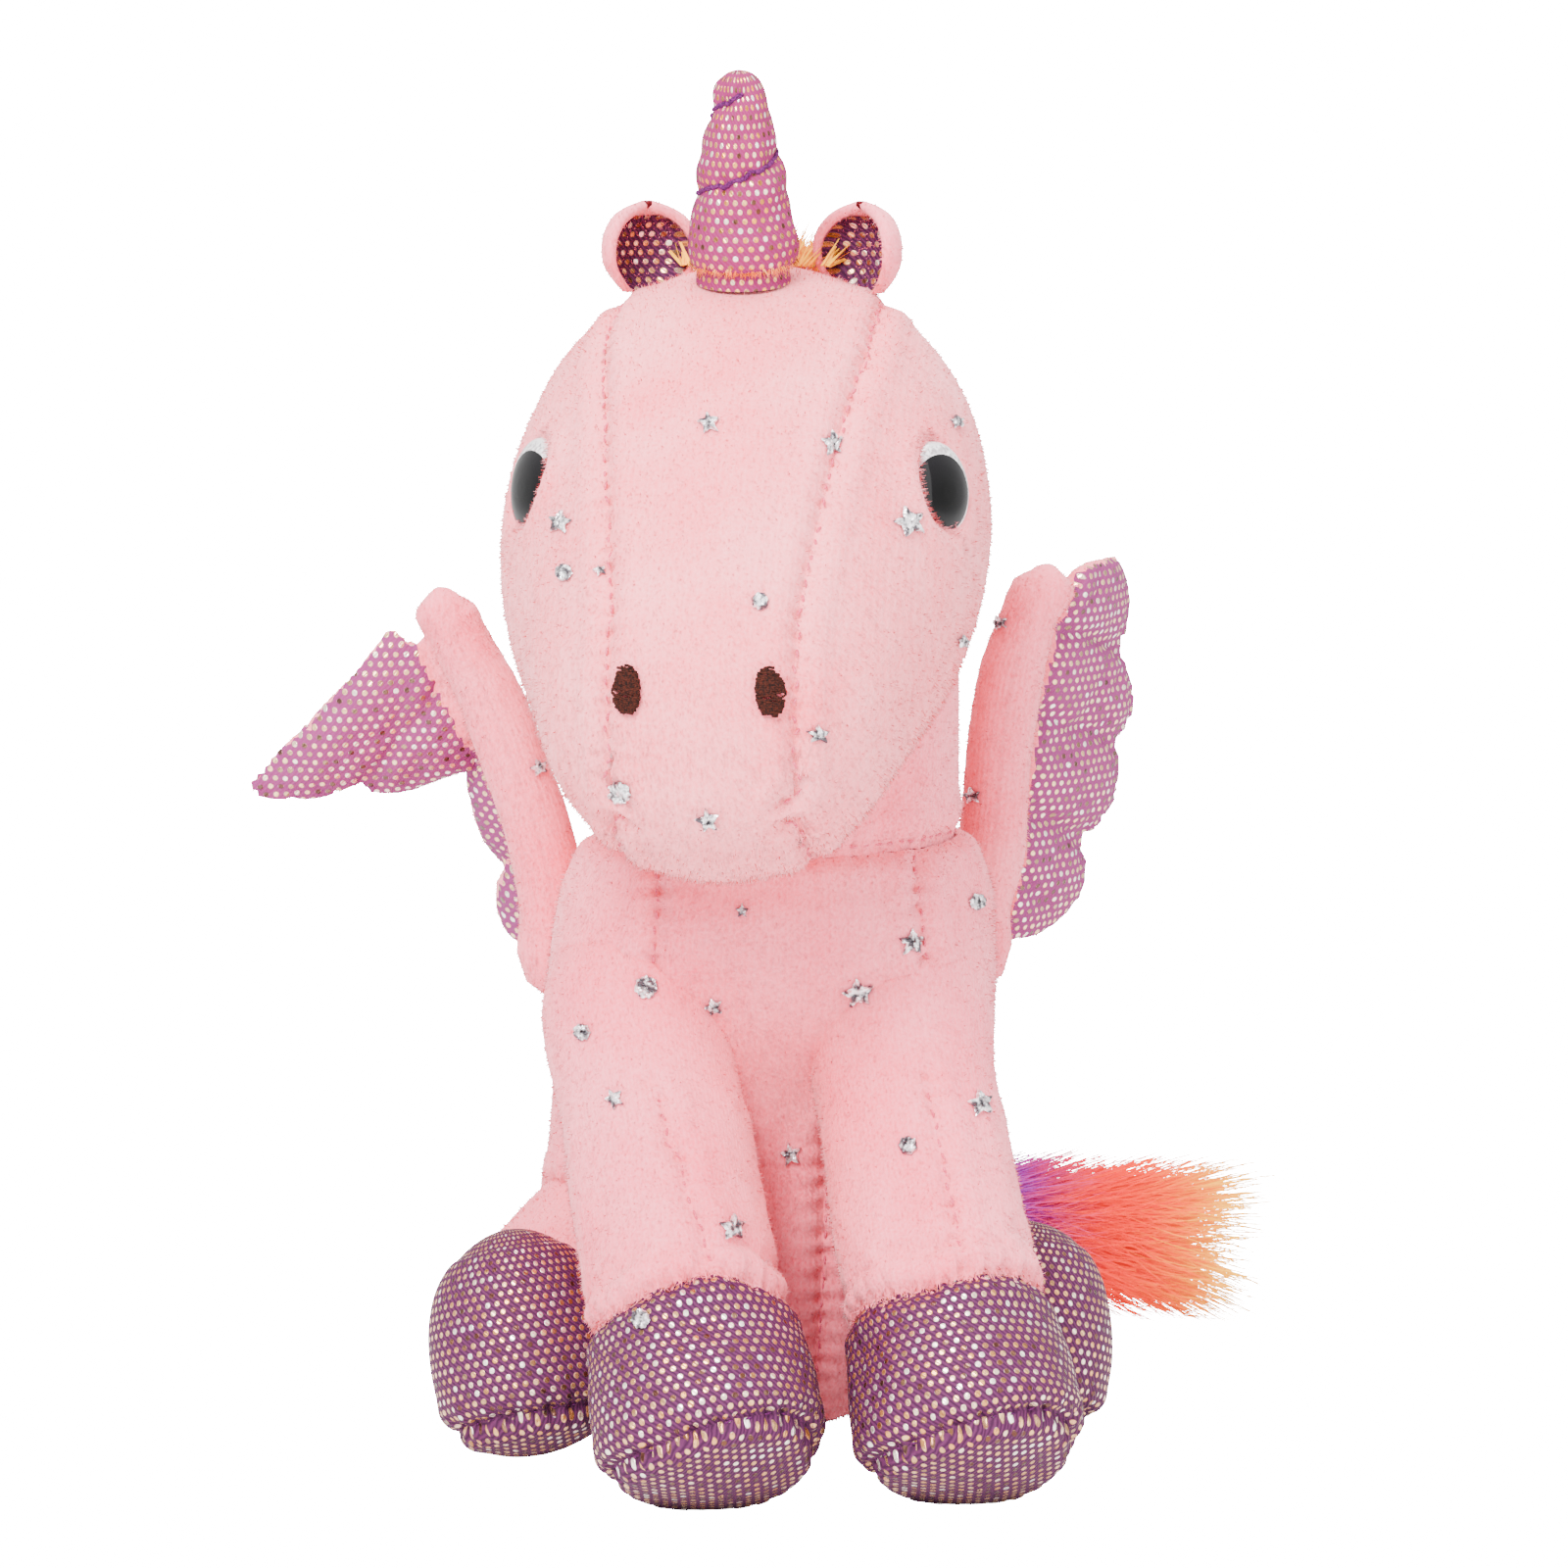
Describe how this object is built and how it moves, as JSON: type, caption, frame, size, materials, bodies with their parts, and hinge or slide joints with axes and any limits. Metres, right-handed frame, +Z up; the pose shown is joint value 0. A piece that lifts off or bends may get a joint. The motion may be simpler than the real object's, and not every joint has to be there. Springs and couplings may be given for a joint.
{
  "type": "plush unicorn",
  "caption": "Sitting plush winged unicorn with a soft horn, quilted wings, plastic eyes, stuffed legs and a long fur tail and mane.",
  "frame": {"origin": "on the ground, on the front part of the seat's flat between the hips", "axes": "+Z up, the toy faces -Y, its left side is +X"},
  "size_m": [0.2291, 0.2085, 0.2863],
  "materials": {
    "pink_plush": "short pile",
    "stuffing": "loose fibre",
    "rainbow_fur": "long pile",
    "orchid_foil": "woven with foil dots",
    "purple_foil": "woven with foil dots",
    "purple_thread": "twisted",
    "eye_black": "gloss",
    "eye_clear": "clear gloss",
    "washer_plastic": "matte",
    "brown_thread": "satin stitch"
  },
  "bodies": {
    "torso": {"torso_left_panel": "pink_plush", "torso_right_panel": "pink_plush", "chest_belly_panel": "pink_plush", "torso_stuffing": "stuffing"},
    "neck": {"neck_cover": "pink_plush", "neck_stuffing": "stuffing", "mane_neck": "rainbow_fur"},
    "head": {"head_left_panel": "pink_plush", "head_right_panel": "pink_plush", "head_centre_panel": "pink_plush", "head_stuffing": "stuffing", "mane_crown": "rainbow_fur", "left_eye_base": "eye_black", "left_eye_dome": "eye_clear", "left_eye_washer": "washer_plastic", "left_nostril_embroidery": "brown_thread", "right_eye_base": "eye_black", "right_eye_dome": "eye_clear", "right_eye_washer": "washer_plastic", "right_nostril_embroidery": "brown_thread"},
    "horn": {"horn_cover": "orchid_foil", "horn_stuffing": "stuffing", "horn_thread": "purple_thread"},
    "tail": {"tail_fur": "rainbow_fur", "tail_core": "pink_plush"},
    "left_ear": {"left_ear_outer": "pink_plush", "left_ear_lining": "purple_foil"},
    "left_wing": {"left_wing_band": "pink_plush", "left_wing_front_panel": "purple_foil", "left_wing_padding": "stuffing", "left_wing_back_panel": "pink_plush"},
    "left_front_leg": {"left_front_leg_outer_panel": "pink_plush", "left_front_leg_inner_panel": "pink_plush", "left_front_hoof_cover": "purple_foil", "left_front_hoof_sole": "purple_foil", "left_front_leg_stuffing": "stuffing"},
    "left_hind_leg": {"left_hind_leg_cover": "pink_plush", "left_hind_hoof_cover": "purple_foil", "left_hind_hoof_sole": "purple_foil", "left_hind_leg_stuffing": "stuffing"},
    "right_ear": {"right_ear_outer": "pink_plush", "right_ear_lining": "purple_foil"},
    "right_wing": {"right_wing_band": "pink_plush", "right_wing_front_panel": "purple_foil", "right_wing_padding": "stuffing", "right_wing_back_panel": "pink_plush"},
    "right_front_leg": {"right_front_leg_outer_panel": "pink_plush", "right_front_leg_inner_panel": "pink_plush", "right_front_hoof_cover": "purple_foil", "right_front_hoof_sole": "purple_foil", "right_front_leg_stuffing": "stuffing"},
    "right_hind_leg": {"right_hind_leg_cover": "pink_plush", "right_hind_hoof_cover": "purple_foil", "right_hind_hoof_sole": "purple_foil", "right_hind_leg_stuffing": "stuffing"}
  },
  "joints": [
    {"name": "head_turn", "type": "hinge", "parent": "torso", "child": "neck", "pos_m": [0.002, -0.006, 0.1275], "axis": [0, 0, 1], "range_deg": [-20, 38]},
    {"name": "head_nod", "type": "hinge", "parent": "neck", "child": "head", "pos_m": [-0.00162, -0.01341, 0.197], "axis": [0.9781, -0.2079, 0], "range_deg": [-20, 4]},
    {"name": "horn_wobble", "type": "hinge", "parent": "head", "child": "horn", "pos_m": [-0.00467, -0.02776, 0.24583], "axis": [0.9781, -0.2079, 0], "range_deg": [-8, 8]},
    {"name": "tail_wag", "type": "hinge", "parent": "torso", "child": "tail", "pos_m": [0.004, 0.068, 0.028], "axis": [0, 0, 1], "range_deg": [-5, 60]},
    {"name": "left_ear_fold", "type": "hinge", "parent": "head", "child": "left_ear", "pos_m": [0.02042, -0.01554, 0.2385], "axis": [0.9781, -0.2079, 0], "range_deg": [-15, 20]},
    {"name": "left_wing_flap", "type": "hinge", "parent": "torso", "child": "left_wing", "pos_m": [0.047, 0.014, 0.098], "axis": [0.1888, 0, 0.982], "range_deg": [-50, 15]},
    {"name": "left_front_leg_swing", "type": "hinge", "parent": "torso", "child": "left_front_leg", "pos_m": [0.0265, -0.018, 0.092], "axis": [1, 0, 0], "range_deg": [-50, 0]},
    {"name": "left_hind_leg_splay", "type": "hinge", "parent": "torso", "child": "left_hind_leg", "pos_m": [0.0355, 0.014, 0.036], "axis": [0, 0, 1], "range_deg": [0, 35]},
    {"name": "right_ear_fold", "type": "hinge", "parent": "head", "child": "right_ear", "pos_m": [-0.02262, -0.00639, 0.2385], "axis": [0.9781, -0.2079, 0], "range_deg": [-15, 20]},
    {"name": "right_wing_flap", "type": "hinge", "parent": "torso", "child": "right_wing", "pos_m": [-0.0395, 0.014, 0.098], "axis": [-0.1888, 0, 0.982], "range_deg": [-15, 50]},
    {"name": "right_front_leg_swing", "type": "hinge", "parent": "torso", "child": "right_front_leg", "pos_m": [-0.0265, -0.018, 0.092], "axis": [1, 0, 0], "range_deg": [-50, 0]},
    {"name": "right_hind_leg_splay", "type": "hinge", "parent": "torso", "child": "right_hind_leg", "pos_m": [-0.0325, 0.014, 0.036], "axis": [0, 0, 1], "range_deg": [-35, 0]}
  ]
}
